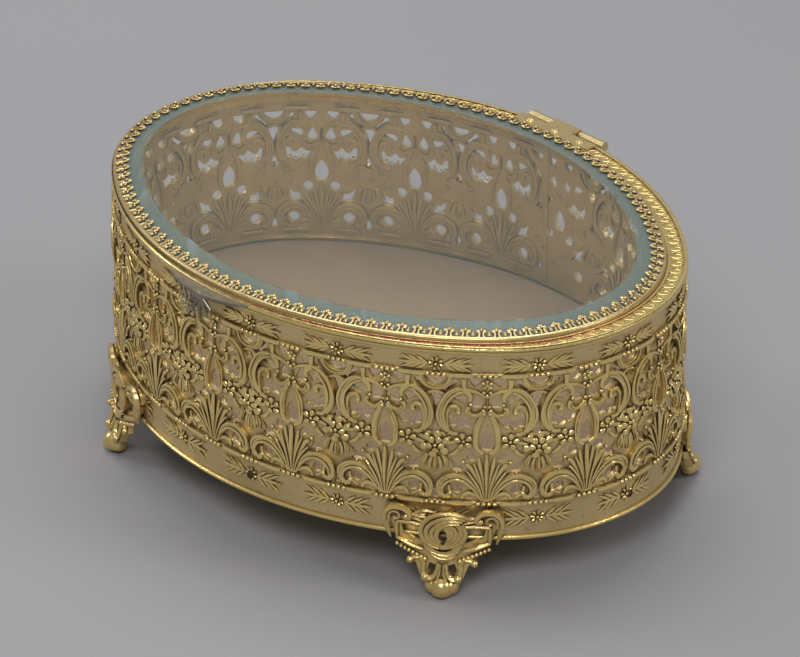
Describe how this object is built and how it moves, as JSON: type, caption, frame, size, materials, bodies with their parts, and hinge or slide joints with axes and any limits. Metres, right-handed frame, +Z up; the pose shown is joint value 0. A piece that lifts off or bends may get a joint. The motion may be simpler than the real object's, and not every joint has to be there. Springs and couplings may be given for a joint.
{
  "type": "glass casket box",
  "caption": "Oval pierced brass filigree casket on cast feet, with a hinged lid that holds a bevelled oval glass in a crown gallery.",
  "frame": {"origin": "on the floor under the middle of the oval, at the centre of the box that bounds the closed casket", "axes": "+Z up, +X along the oval's length, and the front with the thumb tab faces -Y"},
  "size_m": [0.1822, 0.144, 0.0774],
  "materials": {
    "gilt_filigree": "gilded cast brass, bright on the relief and darkened in the recesses",
    "gilt_moulding": "polished gilded brass moulding",
    "base_sheet": "dull brass sheet",
    "dark_rivet": "tarnished rivet heads",
    "card_board": "plain stiff card",
    "taupe_fabric": "taupe woven lining",
    "gilt_foot": "gilded cast brass, worn bright on the ridges",
    "hinge_brass": "satin brass",
    "gilt_lid": "gilded brass with a finely engraved band",
    "red_gasket": "thin red felt",
    "gilt_gallery": "gilded brass strip with darkened beads",
    "lid_glass": "clear glass with a faint blue-green tint and a polished bevel",
    "worn_plate": "brass with its plating worn to silver grey"
  },
  "bodies": {
    "box": {"filigree_wall": "gilt_filigree", "lower_rim": "gilt_moulding", "upper_rim": "gilt_moulding", "base_plate": "base_sheet", "base_rivets": "dark_rivet", "floor_board": "card_board", "floor_pad": "taupe_fabric", "foot_front_left": "gilt_foot", "foot_front_right": "gilt_foot", "foot_rear_left": "gilt_foot", "foot_rear_right": "gilt_foot", "body_hinge_leaf": "hinge_brass", "body_leaf_rivets": "hinge_brass", "hinge_pin": "hinge_brass"},
    "lid": {"lid_frame": "gilt_lid", "gasket": "red_gasket", "gallery": "gilt_gallery", "glass": "lid_glass", "lid_hinge_leaf": "hinge_brass", "lid_leaf_rivets": "hinge_brass", "thumb_tab": "worn_plate"}
  },
  "joints": [
    {"name": "lid_hinge", "type": "hinge", "parent": "box", "child": "lid", "pos_m": [-0.0025, 0.0705, 0.07375], "axis": [-1, 0, 0], "range_deg": [0, 95]}
  ]
}
